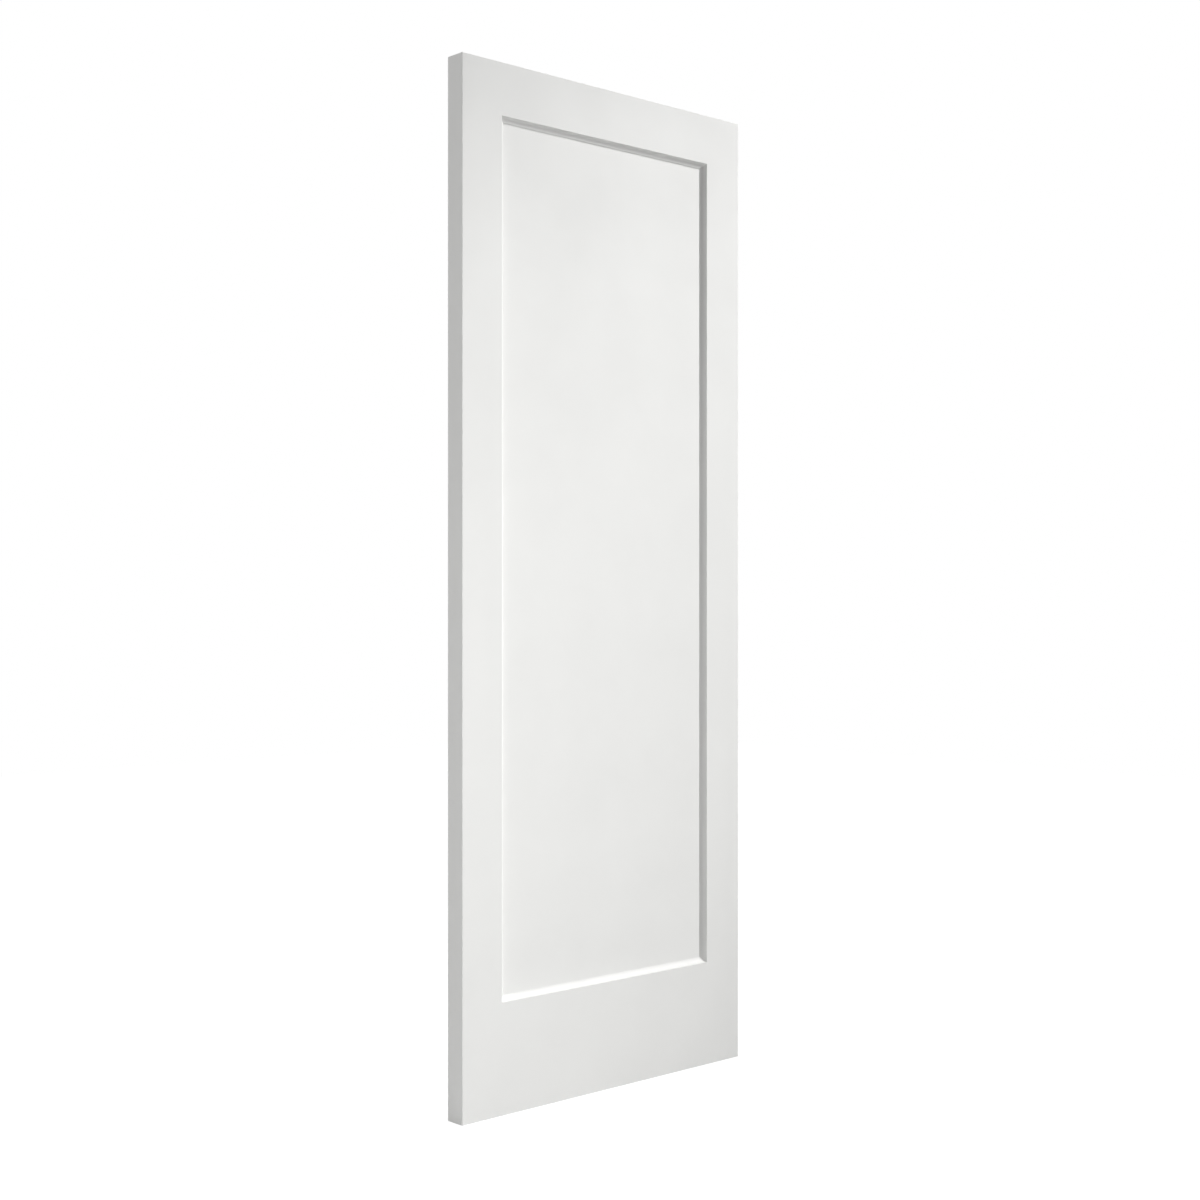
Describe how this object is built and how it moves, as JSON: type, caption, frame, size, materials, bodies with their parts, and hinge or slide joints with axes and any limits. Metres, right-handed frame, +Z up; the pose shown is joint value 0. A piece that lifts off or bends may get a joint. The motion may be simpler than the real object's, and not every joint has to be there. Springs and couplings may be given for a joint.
{
  "type": "one panel solid door",
  "caption": "Primed stile-and-rail door slab with a single flat recessed panel and hollow-moulded sticking, for hanging on edge hinges.",
  "frame": {"origin": "Foot of the left edge (seen from the front) at mid-thickness, on the face that takes the hinges.", "axes": "+X runs across the width from the left edge to the right, +Y through the thickness from the front face to the back, +Z up the height."},
  "size_m": [0.762, 0.0444, 2.032],
  "materials": {
    "primed_fibreboard": "high-density fibreboard skin, factory sprayed with flat white primer",
    "primed_panel": "medium-density fibreboard panel, factory sprayed with flat white primer",
    "primed_pine": "finger-jointed pine, sanded and factory sprayed with flat white primer",
    "primed_core": "glued softwood block core, primed where its ends show",
    "beech_dowel": "bare fluted beech, glued in"
  },
  "bodies": {
    "root": {"panel": "primed_panel", "left_stile_edge_band": "primed_pine", "left_stile_core": "primed_core", "left_stile_sticking": "primed_pine", "left_stile_front_skin": "primed_fibreboard", "left_stile_back_skin": "primed_fibreboard", "right_stile_edge_band": "primed_pine", "right_stile_core": "primed_core", "right_stile_sticking": "primed_pine", "right_stile_front_skin": "primed_fibreboard", "right_stile_back_skin": "primed_fibreboard", "top_rail_core": "primed_core", "top_rail_sticking": "primed_pine", "top_rail_front_skin": "primed_fibreboard", "top_rail_back_skin": "primed_fibreboard", "bottom_rail_core": "primed_core", "bottom_rail_sticking": "primed_pine", "bottom_rail_front_skin": "primed_fibreboard", "bottom_rail_back_skin": "primed_fibreboard", "top_left_dowels": "beech_dowel", "top_right_dowels": "beech_dowel", "bottom_left_dowels": "beech_dowel", "bottom_right_dowels": "beech_dowel"}
  },
  "joints": []
}
